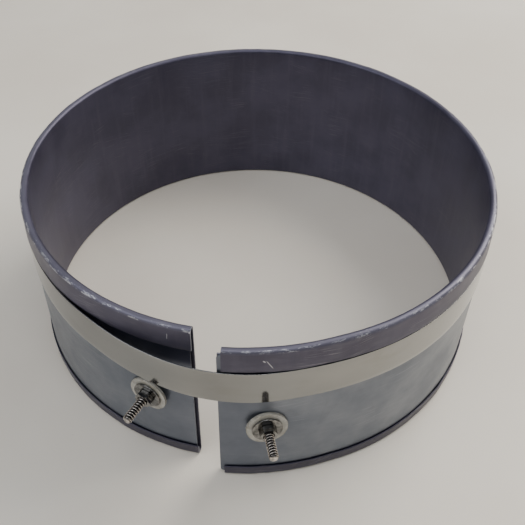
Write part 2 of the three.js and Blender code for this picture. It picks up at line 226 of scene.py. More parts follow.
def skin(name, rings, closed=False):
    """Quads between each ring of points and the next. A closed skin joins its last ring to its
    first, and an open one is capped at both ends."""
    rings = np.asarray(rings)
    count, sides = rings.shape[:2]
    index = np.arange(count * sides).reshape(count, sides)
    after = np.roll(index, -1, axis=1)
    pairs = [(k, (k + 1) % count) for k in range(count if closed else count - 1)]
    faces = []
    for a, b in pairs:
        faces.extend(np.stack([index[a], after[a], after[b], index[b]], axis=1).tolist())
    if not closed:
        faces.append(index[0][::-1].tolist())
        faces.append(index[-1].tolist())
    return mesh_object(name, rings.reshape(-1, 3), faces)


def cut(piece, *tools):
    """Takes the tools' solids out of the piece, and removes the tools."""
    for tool in tools:
        modifier = piece.modifiers.new("cut", "BOOLEAN")
        modifier.operation = "DIFFERENCE"
        modifier.solver = "EXACT"
        modifier.object = tool
    graph = bpy.context.evaluated_depsgraph_get()
    result = bpy.data.meshes.new_from_object(piece.evaluated_get(graph))
    piece.modifiers.clear()
    piece.data = result
    for tool in tools:
        bpy.data.objects.remove(tool)
    return piece


def rounded_box_section(low, high, radius, rows=(1, 1)):
    """A closed outline of a rectangle with rounded corners. rows says into how many parts its
    first and second kind of side are split."""
    (x0, y0), (x1, y1) = low, high
    middles = [(x1 - radius, y1 - radius), (x0 + radius, y1 - radius)]
    middles += [(x0 + radius, y0 + radius), (x1 - radius, y0 + radius)]
    outline = []
    for quarter, middle in enumerate(middles):
        turns = np.linspace(90 * quarter, 90 * quarter + 90, 4)
        corner = [np.array(middle) + polar(turn, radius) for turn in turns]
        if outline:
            outline.extend(between(outline[-1], corner[0], rows[(quarter + 1) % 2]))
        outline.extend(corner)
    outline.extend(between(outline[-1], outline[0], rows[0]))
    return np.array(outline)


def between(start, end, parts):
    """The points that split a line into equal parts, without its ends."""
    return [start + (end - start) * k / parts for k in range(1, parts)]


def to_space(matrix, points):
    """Local points in millimetres as points in the row frame, also in millimetres."""
    rotation = np.array(matrix.to_3x3())
    return np.asarray(points) @ rotation.T + np.array(matrix.translation)


def turns_round(sides):
    return np.linspace(0, 360, sides, endpoint=False)


def rings_about(matrix, outline, sides):
    """A ring of points about the frame's Z for each radius and height of the outline. A radius may
    be an array with one value for each point."""
    rings = []
    for radius, height in outline:
        x, y = polar(turns_round(sides), radius)
        ring = np.stack([x, y, np.broadcast_to(height, x.shape)], axis=-1)
        rings.append(to_space(matrix, ring))
    return rings


def lathe(name, matrix, outline, sides=64, closed=False):
    return skin(name, rings_about(matrix, outline, sides), closed)


def rod(name, matrix, radius, low, high):
    return lathe(name, matrix, [(radius, low), (radius, high)], sides=48)


# ---- Finishing a piece ----


def turns_from(seam, points):
    """Each point's angle, in the whole turn that starts at the seam."""
    angle = np.degrees(np.arctan2(points[:, 1], points[:, 0]))
    return seam + (angle - seam) % 360


def ring_coordinates(points):
    """Along the ring, up, and outwards from the bore's wall, in millimetres."""
    angle = turns_from(RING_SEAM, points)
    out = np.hypot(points[:, 0], points[:, 1]) - RADIUS - sprung(angle)
    return np.stack([np.radians(angle) * RADIUS, points[:, 2], out], axis=1)


def strap_coordinates(points):
    """Along the strap, which starts and ends at its lock, up, and outwards, in millimetres."""
    angle = turns_from(LOCK_ANGLE - 360, points)
    out = np.hypot(points[:, 0], points[:, 1]) - RADIUS
    return np.stack([np.radians(angle) * RADIUS, points[:, 2], out], axis=1)


def local_coordinates(matrix):
    back = matrix.inverted()
    return lambda points: to_space(back, points)


def store_run(mesh, values):
    """Keeps each point's surface coordinates with the mesh."""
    run = mesh.attributes.new("run", "FLOAT_VECTOR", "POINT")
    run.data.foreach_set("vector", values.astype(np.float32).ravel())


def finish_piece(piece, body, nodes, material, coordinates, sharp=40):
    """Shades the piece, stores its surface coordinates for the material, and ties it to the frame."""
    mesh = piece.data
    points = np.zeros(len(mesh.vertices) * 3)
    mesh.vertices.foreach_get("co", points)
    store_run(mesh, coordinates(points.reshape(-1, 3) / MM))
    mesh.polygons.foreach_set("use_smooth", [True] * len(mesh.polygons))
    mesh.set_sharp_from_angle(angle=math.radians(sharp))
    mesh.materials.clear()
    mesh.materials.append(material)
    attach(piece, body)
    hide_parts(*nodes)
    return piece


def finish_part(piece, body, node, material, place, sharp=40):
    """Finishes a piece whose coordinates are those of its own frame."""
    finish_piece(piece, body, [node], material, local_coordinates(place), sharp)


# ---- Material building ----


def srgb(levels):
    """A colour given as 0 to 255 display levels, for a shader."""
    shares = [level / 255 for level in levels]
    linear = [s / 12.92 if s <= 0.04045 else ((s + 0.055) / 1.055) ** 2.4 for s in shares]
    return (*linear, 1)


class Finish:
    """A node material whose patterns follow a piece's stored surface coordinates, in millimetres."""

    def __init__(self, name, **shader_values):
        self.material = bpy.data.materials.new(name)
        self.material.use_nodes = True
        self.tree = self.material.node_tree
        self.shader = self.tree.nodes["Principled BSDF"]
        for socket, value in shader_values.items():
            self.shader.inputs[socket.replace("_", " ")].default_value = value
        run = self.add("ShaderNodeAttribute")
        run.attribute_name = "run"
        self.run = run.outputs["Vector"]
        parts = self.add("ShaderNodeSeparateXYZ", Vector=self.run)
        self.along, self.up, self.out = parts.outputs

    def add(self, kind, **inputs):
        node = self.tree.nodes.new(kind)
        for name, value in inputs.items():
            self.put(node.inputs[name.replace("_", " ")], value)
        return node

    def put(self, socket, value):
        if isinstance(value, bpy.types.NodeSocket):
            self.tree.links.new(value, socket)
        else:
            socket.default_value = value

    def maths(self, operation, *values):
        node = self.tree.nodes.new("ShaderNodeMath")
        node.operation = operation
        for socket, value in zip(node.inputs, values):
            self.put(socket, value)
        return node.outputs[0]

    def times(self, *values):
        return self.maths("MULTIPLY", *values)

    def vector_maths(self, operation, vector, other=None):
        node = self.add("ShaderNodeVectorMath", Vector=vector)
        node.operation = operation
        if other is not None:
            node.inputs[1].default_value = other
        return node

    def noise(self, size, detail=3, rough=0.5, stretch=(1, 1, 1), turn=0, distortion=0):
        """Noise with features of about size millimetres, longer along an axis where stretch is
        above 1, turned within the surface."""
        spin = self.add("ShaderNodeVectorRotate", Vector=self.run, Angle=math.radians(turn))
        spin.rotation_type = "Z_AXIS"
        place = self.vector_maths("DIVIDE", spin.outputs[0], [size * s for s in stretch]).outputs[0]
        shape = {"Scale": 1, "Detail": detail, "Roughness": rough, "Distortion": distortion}
        return self.add("ShaderNodeTexNoise", Vector=place, **shape).outputs["Fac"]

    def span(self, value, low, high, to_low=0, to_high=1):
        """value from low to high, as to_low to to_high, eased and held at its ends."""
        ends = {"From_Min": low, "From_Max": high, "To_Min": to_low, "To_Max": to_high}
        node = self.add("ShaderNodeMapRange", Value=value, **ends)
        node.interpolation_type = "SMOOTHSTEP"
        return node.outputs[0]

    def scratches(self, length, width, turn, amount, seed):
        """Thin lines at an angle to the ring, broken up along their length. amount is from 0 to 1."""
        lines = self.noise(width, 1, 0.4, (length / width, 1, 1), turn, 0.3)
        thin = self.span(lines, 0.66 - 0.08 * amount, 0.72 - 0.08 * amount)
        places = self.noise(length * 1.7 + seed, 2, 0.6)
        return self.times(thin, self.span(places, 0.5, 0.62))

    def nick(self, angle, height, length, width, turn):
        """One short scratch at a place on the hems, from 0 to 1."""
        lean = math.radians(turn)
        cos, sin = math.cos(lean), math.sin(lean)
        across = self.maths("SUBTRACT", self.along, math.radians(angle) * RADIUS)
        above = self.maths("SUBTRACT", self.up, height)
        down_it = self.maths("ADD", self.times(across, cos), self.times(above, sin))
        off_it = self.maths("SUBTRACT", self.times(above, cos), self.times(across, sin))
        within = self.span(self.maths("ABSOLUTE", down_it), 0.3 * length, 0.5 * length, 1, 0)
        narrow = self.span(self.maths("ABSOLUTE", off_it), 0.2 * width, 0.5 * width, 1, 0)
        outside = self.span(self.out, SHEET + 0.5, SHEET + 1)
        return self.times(self.times(within, narrow), outside)

    def from_axis(self):
        """How far a point is from the axis of the piece's own coordinates."""
        flat = self.vector_maths("MULTIPLY", self.run, (1, 1, 0))
        return self.vector_maths("LENGTH", flat.outputs[0]).outputs["Value"]

    def most(self, *values):
        return self.maths("MAXIMUM", *values)

    def mix(self, share, *colours):
        """The first colour going over to the second. A colour is a socket or display levels."""
        node = self.tree.nodes.new("ShaderNodeMix")
        node.data_type = "RGBA"
        self.put(node.inputs[0], share)
        for socket, colour in zip((node.inputs[6], node.inputs[7]), colours):
            self.put(socket, srgb(colour) if isinstance(colour, tuple) else colour)
        return node.outputs[2]

    def over(self, colour, share, amount, levels):
        """The colour with another laid over it, where share is high, by an amount."""
        return self.mix(self.times(share, amount), colour, levels)

    def bump(self, height, distance):
        """Adds relief: height is from 0 to 1 and distance in millimetres. Calls add up."""
        node = self.add("ShaderNodeBump", Height=height, Distance=distance * MM)
        before = self.shader.inputs["Normal"]
        if before.is_linked:
            self.tree.links.new(before.links[0].from_socket, node.inputs["Normal"])
        self.tree.links.new(node.outputs[0], before)

    def paint(self, colour, roughness):
        self.put(self.shader.inputs["Base Color"], colour)
        self.put(self.shader.inputs["Roughness"], roughness)


# ---- Materials ----


def sheath_material():
    """Dark oxidised steel sheet: cloudy, satin, worn bright and with a painted highlight along the shoulder
    of the top hem.
    """
    steel = Finish("sheath_steel", Metallic=0.5)
    clouds = steel.noise(28, 4, 0.55)
    colour = steel.mix(steel.span(clouds, 0.3, 0.7), (72, 69, 86), (86, 83, 101))
    drawn = steel.noise(5, 3, 0.6, (1, 12, 1))
    colour = steel.mix(steel.span(drawn, 0.45, 0.8, 0, 0.3), colour, (98, 95, 112))
    outside = steel.span(steel.out, 0.8, 2)
    worn = steel.span(steel.noise(6, 4, 0.6, (3, 1, 1)), 0.4, 0.75, 0.05, 0.4)
    colour = steel.over(colour, outside, worn, (112, 110, 122))
    # Painted light: the top of the fold is painted lighter, as where light from above falls on it.
    crest = steel.span(steel.up, WIDTH - 2.2, WIDTH - 0.8, 0, 0.45)
    colour = steel.over(colour, outside, crest, (122, 120, 134))
    # The outside is darker towards the bottom, over the bottom hem.
    darker_towards_bottom = steel.span(steel.up, BOTTOM_HEM, BOTTOM_HEM + 3, 0.55, 0)
    colour = steel.over(colour, outside, darker_towards_bottom, (50, 47, 60))
    scuffs = steel.most(steel.scratches(22, 0.4, 3, 0.5, 3), steel.scratches(14, 0.3, -14, 0.2, 11))
    shown = steel.span(outside, 0, 1, 0.1, 0.3)
    colour = steel.over(colour, scuffs, shown, (188, 186, 192))
    # Painted highlight: a bright line along the top hem's outer shoulder, partly rubbed metal and partly
    # painted light.
    shoulder = steel.times(
        steel.span(steel.up, WIDTH - 1.7, WIDTH - 1),
        steel.span(steel.out, WALL - 1.6, WALL - 0.7),
    )
    rub_and_glint_patches = steel.span(steel.noise(3, 5, 0.75, (3, 1, 1)), 0.5, 0.6)
    rub_and_highlight = steel.times(shoulder, rub_and_glint_patches)
    colour = steel.over(colour, rub_and_highlight, 0.85, (222, 222, 226))
    for mark in HEM_NICKS:
        colour = steel.over(colour, steel.nick(*mark), 0.8, (226, 226, 230))
    start, end = (math.radians(angle) * RADIUS for angle in SHEET_ENDS)
    # Lighter at the sheet's two ends: bare sheared metal, partly a painted highlight along the cut edges.
    sheared_and_highlit = steel.most(
        steel.span(steel.along, start + 1.9, start + 2.3, 1, 0),
        steel.span(steel.along, end - 0.3, end - 0.1),
    )
    colour = steel.over(colour, sheared_and_highlit, 0.6, (140, 143, 152))
    satin = steel.span(clouds, 0.3, 0.7, 0.38, 0.48)
    steel.paint(colour, steel.maths("SUBTRACT", satin, steel.times(rub_and_highlight, 0.16)))
    steel.bump(steel.noise(11, 3, 0.5), 0.06)
    steel.bump(steel.noise(0.7, 3, 0.6), 0.012)
    return steel.material


def cover_material():
    """Zinc-coated sheet: bluish, satin, with a faint rolled grain, stains and dark specks."""
    zinc = Finish("zinc_cover", Metallic=0.85)
    clouds = zinc.noise(34, 4, 0.6)
    colour = zinc.mix(zinc.span(clouds, 0.3, 0.7), (112, 118, 129), (131, 136, 145))
    stains = zinc.span(zinc.noise(13, 5, 0.62, (1, 1.6, 1), 0, 0.6), 0.56, 0.72)
    colour = zinc.over(colour, stains, 0.2, (92, 94, 100))
    specks = zinc.span(zinc.noise(1.6, 2, 0.5), 0.72, 0.8)
    colour = zinc.over(colour, specks, 0.5, (84, 88, 94))
    marks = zinc.most(zinc.scratches(20, 0.4, 2, 0.4, 5), zinc.scratches(15, 0.3, -9, 0.2, 9))
    colour = zinc.over(colour, marks, 0.25, (190, 193, 198))
    start, end = (math.radians(angle) * RADIUS for angle in COVER["ends"])
    # Painted shade: the cover is darker and bluer towards both ends, beside the gap.
    shade_near_ends = zinc.most(
        zinc.span(zinc.along, start + 6, start + 32, 1, 0),
        zinc.span(zinc.along, end - 32, end - 6),
    )
    colour = zinc.over(colour, shade_near_ends, 0.35, (96, 102, 118))
    # Painted shade: dark navy in the crease above the bottom hem and on the band behind the strap, below
    # the top hem.
    crease_shade = zinc.most(zinc.span(zinc.up, BOTTOM_HEM, BOTTOM_HEM + 1.6, 1, 0), zinc.span(zinc.up, 71, 78))
    crease_shade = zinc.times(crease_shade, zinc.span(zinc.along, start + 2.4, start + 4))
    colour = zinc.over(colour, crease_shade, 0.9, (42, 46, 72))
    grain = zinc.noise(0.35, 2, 0.5, (40, 1, 1))
    satin = zinc.span(clouds, 0.3, 0.7, 0.42, 0.34)
    roughness = zinc.maths("ADD", satin, zinc.span(grain, 0, 1, -0.04, 0.08))
    zinc.paint(colour, roughness)
    zinc.bump(zinc.noise(24, 3, 0.5), 0.1)
    zinc.bump(grain, 0.004)
    return zinc.material


def strap_material():
    """Bright rolled stainless strip: a clear mirror with fine lines along its length."""
    strip = Finish("stainless_strap", Metallic=1, Anisotropic=0.3)
    tangent = strip.tree.nodes.new("ShaderNodeTangent")
    tangent.direction_type = "RADIAL"
    tangent.axis = "Z"
    strip.put(strip.shader.inputs["Tangent"], tangent.outputs[0])
    bands = strip.noise(30, 3, 0.5, (3, 1, 1))
    colour = strip.mix(strip.span(bands, 0.3, 0.7), (144, 145, 144), (156, 156, 154))
    smears = strip.span(strip.noise(12, 4, 0.6, (2, 1, 1)), 0.54, 0.74)
    colour = strip.over(colour, smears, 0.2, (128, 126, 118))
    lines = strip.noise(0.22, 2, 0.6, (90, 1, 1))
    polish = strip.span(bands, 0.3, 0.7, 0.06, 0.1)
    roughness = strip.maths("ADD", polish, strip.span(lines, 0, 1, -0.02, 0.04))
    strip.paint(colour, roughness)
    strip.bump(strip.noise(40, 2, 0.4, (1.4, 1, 1)), 0.1)
    strip.bump(lines, 0.002)
    return strip.material


def plated_material(name, root_radius, crest_radius, tint, tip=None):
    """Plated turned steel. Painted shade lies in the thread's roots, between the two radii, as far as the
    height of the tip's flat end."""
    steel = Finish(name, Metallic=1)
    depth = steel.span(steel.from_axis(), root_radius, crest_radius, 1, 0)
    if tip is not None:
        depth = steel.times(depth, steel.span(steel.out, tip - 0.5, tip - 0.1, 1, 0))
    clouds = steel.noise(2.6, 4, 0.6)
    colour = steel.mix(steel.span(clouds, 0.35, 0.7), tint, tuple(t * 0.6 for t in tint))
    # Painted shade: the thread's roots are darkened, as shade falls in them.
    colour = steel.over(colour, depth, 0.94, (30, 26, 25))
    specks = steel.span(steel.noise(0.5, 2, 0.6), 0.66, 0.76)
    colour = steel.over(colour, specks, 0.35, (96, 88, 78))
    steel.paint(colour, steel.span(clouds, 0.3, 0.75, 0.07, 0.16))
    steel.bump(steel.noise(0.8, 3, 0.6), 0.02)
    return steel.material


def mica_material(name, pale, dark, gloss, rim=None):
    """Pressed mica: pale, shiny flakes lying flat, with its layers showing at the edges. A round
    piece is darker near its rim, at that radius."""
    mica = Finish(name, Coat_Weight=gloss, Coat_Roughness=0.12, IOR=1.56)
    mica.shader.inputs["Subsurface Weight"].default_value = 0.15
    mica.shader.inputs["Subsurface Radius"].default_value = (0.0012, 0.001, 0.0006)
    flakes = mica.add("ShaderNodeTexVoronoi", Vector=mica.run, Scale=0.5, Randomness=1)
    tone = mica.add("ShaderNodeSeparateColor", Color=flakes.outputs["Color"]).outputs[0]
    clouds = mica.noise(5, 4, 0.6)
    blend = mica.maths("ADD", mica.times(tone, 0.3), mica.span(clouds, 0.3, 0.7, 0, 0.6))
    colour = mica.mix(blend, pale, dark)
    seams = mica.noise(0.14, 1, 0.4, (60, 60, 1))
    colour = mica.mix(mica.span(seams, 0.5, 0.75, 0, 0.25), colour, (160, 150, 124))
    if rim is not None:
        near_rim = mica.span(mica.from_axis(), rim - 0.9, rim, 0, 0.5)
        # A round piece is darker near its rim.
        rim_darkening = mica.times(near_rim, clouds)
        colour = mica.mix(rim_darkening, colour, (104, 98, 84))
    mica.paint(colour, mica.span(tone, 0, 1, 0.22, 0.38))
    mica.bump(tone, 0.02)
    return mica.material


def ribbon_material():
    """Rolled resistance ribbon, faintly heat-tinted."""
    alloy = Finish("resistance_alloy", Metallic=1)
    tint = alloy.noise(7, 3, 0.5)
    colour = alloy.mix(alloy.span(tint, 0.35, 0.65), (150, 145, 138), (128, 118, 112))
    alloy.paint(colour, alloy.span(tint, 0.3, 0.7, 0.3, 0.42))
    alloy.bump(alloy.noise(0.3, 2, 0.5, (30, 1, 1)), 0.004)
    return alloy.material


# ---- The wall ----


def hem_section():
    """The sheet's section, as offset and height: a flat web with both edges folded back outside."""
    top, bottom = TOP_FOLD, BOTTOM_FOLD
    high = WIDTH - top
    lip = SHEET / 2

    def bend(middle, radius, start, end):
        return [np.array(middle) + polar(turn, radius) for turn in np.linspace(start, end, QUARTER + 1)]

    def face(offset, start, end, parts):
        return between(np.array([offset, start]), np.array([offset, end]), parts)

    top_lip = WIDTH - TOP_HEM + lip
    bottom_lip = BOTTOM_HEM - lip
    points = bend((WALL - top, high), top, 0, 90)
    points += bend((top, high), top, 90, 180)
    points += face(0, high, bottom, 12)
    points += bend((bottom, bottom), bottom, 180, 270)
    points += bend((WALL - bottom, bottom), bottom, 270, 360)
    points += face(WALL, bottom, bottom_lip, 6)
    points += bend((WALL - lip, bottom_lip), lip, 0, 180)
    points += face(WALL - SHEET, bottom_lip, bottom, 6)
    points += bend((WALL - bottom, bottom), bottom - SHEET, 360, 270)
    points += bend((bottom, bottom), bottom - SHEET, 270, 180)
    points += face(SHEET, bottom, high, 12)
    points += bend((top, high), top - SHEET, 180, 90)
    points += bend((WALL - top, high), top - SHEET, 90, 0)
    points += face(WALL - SHEET, high, top_lip, 8)
    points += bend((WALL - lip, top_lip), lip, 180, 360)
    points += face(WALL, top_lip, high, 8)
    return np.array(points)


def hem_ripple(section, angle):
    """The hand-rolled hems wander a little: in and out, and at their free edges up and down. The
    free edges also stand a little off the cover plate."""
    offset, height = section.T
    folded = np.clip((offset - SHEET - 0.2) / 1.5, 0, 1)
    top = height > WIDTH / 2
    along = angle * 0.16
    out = np.where(top, wobble(along, 1), wobble(along, 2)) + 0.5 * wobble(angle * 0.55, 3)
    leaf = np.where(top, (WIDTH - TOP_FOLD - height) / TOP_HEM, (height - BOTTOM_FOLD) / BOTTOM_HEM)
    free_edge = np.clip(1.2 * leaf, 0, 1)
    drop = np.where(top, wobble(along * 1.7, 4), wobble(along * 1.7, 5)) * free_edge
    crest = (0.5 * wobble(angle * 0.3, 6) - 0.5) * np.clip(height - WIDTH + 2, 0, 1)
    lift = folded * free_edge**2 * HEM_LIFT
    return offset + HEM_WAVE * folded * (out - 0.5) + lift, height + HEM_WAVE * (folded * drop + crest)


def wall_block(name, ends, offsets, heights):
    """A block of the wall for cutting."""
    low, high = heights
    rings = []
    for angle in ends:
        corners = [(offsets[0], low), (offsets[1], low), (offsets[1], high), (offsets[0], high)]
        rings.append([on_wall(angle, offset, height) for offset, height in corners])
    return skin(name, rings)


def finish_wall(piece, node, material):
    finish_piece(piece, "band", [node], material, ring_coordinates)


def build_sheath(material):
    section = hem_section()
    rings = []
    for angle in stations(SHEET_ENDS):
        offset, height = hem_ripple(section, angle)
        rings.append(on_wall(angle, offset, height))
    sheath = skin("folded_sheath", rings)
    start = SHEET_ENDS[0]
    span = (start - TONGUE_LENGTH, start + TONGUE_LENGTH)
    sheath = cut(
        sheath,
        wall_block("past_the_hems", span, (SHEET + TOUCH, WALL + PAST), (-PAST, WIDTH + PAST)),
        wall_block("above_the_tongue", span, (-PAST, WALL + PAST), (WIDTH - TONGUE_TOP, WIDTH + PAST)),
        wall_block("below_the_tongue", span, (-PAST, WALL + PAST), (-PAST, TONGUE_BOTTOM)),
    )
    finish_wall(sheath, "inner_sheath", material)


def curved_sheet(name, layer, rows=24, corner=0):
    """One layer of the wall, with slightly rounded edges. corner rounds its four corners off."""
    edge = 0.12
    (inner, outer), (low, high) = layer["offsets"], layer["heights"]
    start, end = layer["ends"]
    radius = min(edge, (outer - inner) * 0.45)
    section = rounded_box_section((inner, low), (outer, high), radius, (rows, 1))
    middle = (low + high) / 2
    angles = stations(layer["ends"])
    if corner:
        spread, replaced = 7, 3  # closer stations at each end, and those whose place they take
        bend = np.degrees(corner / RADIUS) * (1 - np.cos(np.radians(np.linspace(0, 90, spread))))
        angles = np.concatenate([start + bend, angles[replaced:-replaced], end - bend[::-1]])
    rings = []
    for angle in angles:
        inside = max(0, corner - np.radians(min(angle - start, end - angle)) * RADIUS)
        drop = corner - math.sqrt(max(0, corner**2 - inside**2))
        squeeze = (middle - low - drop) / (middle - low)
        rings.append(on_wall(angle, section[:, 0], middle + (section[:, 1] - middle) * squeeze))
    return skin(name, rings)


def stud_frame(side, offset):
    """At a stud, local +Z points straight out of the wall and local +Y up."""
    angle, height = STUD_ANGLES[side], STUD_HEIGHTS[side]
    step = 0.5 * FACET
    start, end = (on_wall(angle + turn, offset, height) for turn in (-step, step))
    along = Vector(end - start).normalized()
    up = Vector((0, 0, 1))
    out = along.cross(up)
    matrix = Matrix((up.cross(out), up, out)).transposed().to_4x4()
    matrix.translation = Vector((start + end) / 2)
    return matrix


def stud_holes(radius):
    holes = []
    for side in STUD_ANGLES:
        place = stud_frame(side, COVER_FACE)
        holes.append(rod(f"{side}_hole", place, radius, -HOLE_REACH, HOLE_REACH))
    return holes


def build_cover(material):
    sheet = curved_sheet("zinc_cover_sheet", COVER, corner=COVER_CORNER)
    cover = cut(sheet, *stud_holes(STUD_HOLE["cover"]))
    finish_wall(cover, "cover_plate", material)


def build_mica_sheets(material):
    inner = curved_sheet("inner_mica_sheet", INNER_MICA, rows=2)
    finish_wall(inner, "inner_mica", material)
    outer = cut(curved_sheet("outer_mica_sheet", OUTER_MICA, rows=2), *stud_holes(STUD_HOLE["mica"]))
    finish_wall(outer, "outer_mica", material)


def build_card(material):
    start, end = CARD["ends"]
    card = cut(
        curved_sheet("winding_card", CARD, rows=2),
        wall_block("right_notch", (start - PAST, start + NOTCH_DEPTH), NOTCH_OFFSETS, NOTCH_HEIGHTS),
        wall_block("left_notch", (end - NOTCH_DEPTH, end + PAST), NOTCH_OFFSETS, NOTCH_HEIGHTS),
    )
    finish_wall(card, "element_card", material)


def build_ribbon(material):
    """It climbs the card's inner face and comes down its outer face once in every facet."""
    half = RIBBON_THICKNESS / 2
    (inner, outer), (low, high) = CARD["offsets"], CARD["heights"]
    middle, centre = (inner + outer) / 2, (low + high) / 2
    reach_out = (outer - inner) / 2 + RIBBON_CLEARANCE + half
    reach_up = (high - low) / 2 + RIBBON_CLEARANCE + half
    first, last = 1, FACETS_BETWEEN_STUDS - 1
    route = []
    for k in range(first, last + 1):
        here = STUD_ANGLES["right"] + k * FACET
        back, front = here - FACET / 4, here + FACET / 4
        foot = centre - RIBBON_LEAD if k == first else None
        route.append((back, -1, -1, foot))
        if k == last:
            route.append((back, -1, 0, centre - RIBBON_LEAD / 2))
        else:
            route += [(back, -1, 1, None), (front, 1, 1, None), (front, 1, -1, None)]
    wide = RIBBON_WIDTH / 2
    rings = []
    corners = [(-wide, -half), (wide, -half), (wide, half), (-wide, half)]
    for angle, out, up, height in route:
        ring = []
        for across, outwards in corners:
            level = centre + up * (reach_up + outwards) if height is None else height
            ring.append(on_wall(angle + across, middle + out * (reach_out + outwards), level))
        rings.append(ring)
    ribbon = skin("wound_ribbon", rings)
    finish_wall(ribbon, "resistance_ribbon", material)


def build_tabs(material):
    for side, angle in STUD_ANGLES.items():
        before, after = (TAB_PAST, TAB_REACH) if side == "right" else (TAB_REACH, TAB_PAST)
        tab = curved_sheet(f"{side}_contact_tab", {**TAB, "ends": (angle - before, angle + after)}, rows=2)
        finish_wall(tab, f"{side}_terminal_tab", material)


# ---- Terminals ----


def joint(name):
    return next(j for j in frame["joints"] if j["name"] == name)


def node_points(node):
    return np.array([v.co for v in frame["nodes"][node].data.vertices]) / MM


def node_frame(node, turning_joint):
    """A frame on the joint's axis: its origin is where the node starts along the axis and its +X
    points at the node's corner furthest from the axis. Also gives the node's length."""
    axis = np.array(joint(turning_joint)["axis"])
    start = np.array(joint(turning_joint)["pos_m"]) / MM
    points = node_points(node)
    along = (points - start) @ axis
    across = points - start - np.outer(along, axis)
    corner = Vector(across[np.argmax(np.hypot(*across.T[:2]) + np.abs(across[:, 2]) * 1e-3)]).normalized()
    z = Vector(axis)
    x = (corner - z * corner.dot(z)).normalized()
    matrix = Matrix((x, z.cross(x), z)).transposed().to_4x4()
    matrix.translation = Vector(start + axis * along.min())
    return matrix, along.max() - along.min()


def thread_radius(height, turn, pitch, radius, depth):
    """The radius of a thread at a height and a turn in degrees, both possibly arrays."""
    phase = (height / pitch - turn / 360) % 1
    ramp = np.clip((np.abs(2 * phase - 1) - 0.14) / 0.74, 0, 1)
    eased = ramp * ramp * (3 - 2 * ramp)
    return radius - depth * (1 - eased)


def thread_rings(matrix, low, high, pitch, radius, depth, chamfer=0.7, sides=48, steps=16):
    """Rings of a screw thread that ends in a chamfer at high."""
    outline = []
    for height in np.arange(low, high, pitch / steps):
        shaped = thread_radius(height, turns_round(sides), pitch, radius, depth)
        tip = radius + 0.05 - max(0, chamfer - (high - height))
        outline.append((np.minimum(shaped, tip), height))
    outline.append((radius - chamfer, high))
    return rings_about(matrix, outline, sides)


def build_stud(side, material):
    sides = 48
    wall = stud_frame(side, COVER_FACE)
    axis = Vector(joint(f"{side}_nut_turn")["axis"])
    leaning = wall.to_3x3().col[2].rotation_difference(axis).to_matrix() @ wall.to_3x3()
    shank = leaning.to_4x4()
    shank.translation = wall.translation
    low, high = (offset - COVER_FACE for offset in STUD_HEAD_OFFSETS)
    edge = 0.1
    disc = [(STUD_HEAD - edge, low), (STUD_HEAD, low + edge), (STUD_HEAD, high - edge)]
    disc += [(STUD_HEAD - edge, high), (STUD_RADIUS + 0.25, high)]
    rings = rings_about(wall, disc, sides)
    root = high + 0.35
    rings += thread_rings(shank, root, STUD_REACH, STUD_PITCH, STUD_RADIUS, STUD_THREAD, sides=sides)
    stud = skin(f"{side}_threaded_stud", rings)
    finish_part(stud, "band", f"{side}_terminal_stud", material, shank)


def build_bush(side, material):
    inner, outer = BUSH_RADII
    depth = COVER["offsets"][0] - COVER_FACE
    outline = rounded_box_section((inner, depth), (outer, 0), 0.12)
    bush = lathe(f"{side}_bush_ring", stud_frame(side, COVER_FACE), outline, closed=True)
    node = f"{side}_insulating_bush"
    finish_part(bush, "band", node, material, stud_frame(side, 0))


def mica_washer_rings(matrix, thickness, sides=128, layers=6):
    """A washer punched from layered mica: each layer's edge frays a little differently."""
    inner, outer = MICA_WASHER_RADII
    step = thickness / layers
    groove = 0.02
    bevel = 0.1

    def worn(turn, layer):
        wear = 0.5 + 0.5 * wobble(turn * 0.09, layer + 3 + outer)
        fine = 0.5 + 0.5 * wobble(turn * 0.6, layer + 31 + outer)
        return 0.16 * wear + 0.08 * fine

    outline = []
    for layer in range(layers):
        edge = outer - np.array([worn(turn, layer) for turn in turns_round(sides)])
        edge = np.clip(edge, 0, outer)
        outline += [(edge, layer * step + groove), (edge, (layer + 1) * step - groove)]
    outline.append((outer - 0.35, thickness))
    outline += [(radius, thickness) for radius in np.linspace(outer - 1.2, inner + 0.8, 5)]
    outline += [(inner + bevel, thickness), (inner, thickness - bevel)]
    outline += [(inner, bevel), (inner + bevel, 0), (outer - 0.35, 0)]
    return rings_about(matrix, outline, sides)


def chamfered_hexagon(flats, sides, share):
    """The radius of a hexagon with an eased corner at +X, the radius of its round face as a share
    of the flats, and how far the chamfer between them comes down."""
    radius = flats / 2 / np.cos(np.radians(turns_round(sides) % 60 - 30))
    radius = np.minimum(radius, flats / math.sqrt(3) - 0.25)
    face = flats / 2 * share
    return radius, face, (radius - face) * math.tan(math.radians(30))


def nut_rings(matrix, height, sides=96):
    radius, face, drop = chamfered_hexagon(NUT_FLATS, sides, 0.97)
    rows = [(face, 0), (radius, drop), (radius, height - drop), (face, height)]
    mouth = 0.35
    rows.append((NUT_BORE + mouth, height))
    groove = 0.3
    for z in np.arange(height - mouth, mouth, -STUD_PITCH / 12):
        inside = thread_radius(z, turns_round(sides), STUD_PITCH, NUT_BORE + groove, groove)
        rows.append((inside, z))
    rows.append((NUT_BORE + mouth, 0))
    return rings_about(matrix, rows, sides)


def build_plain_washer(name, node, turning, body, radii, edge, material):
    """A flat steel washer with rounded edges, in the place of its node."""
    place, thickness = node_frame(node, turning)
    inner, outer = radii
    outline = rounded_box_section((inner, 0), (outer, thickness), edge, (1, 3))
    washer = lathe(name, place, outline, sides=96, closed=True)
    finish_part(washer, body, node, material, place)


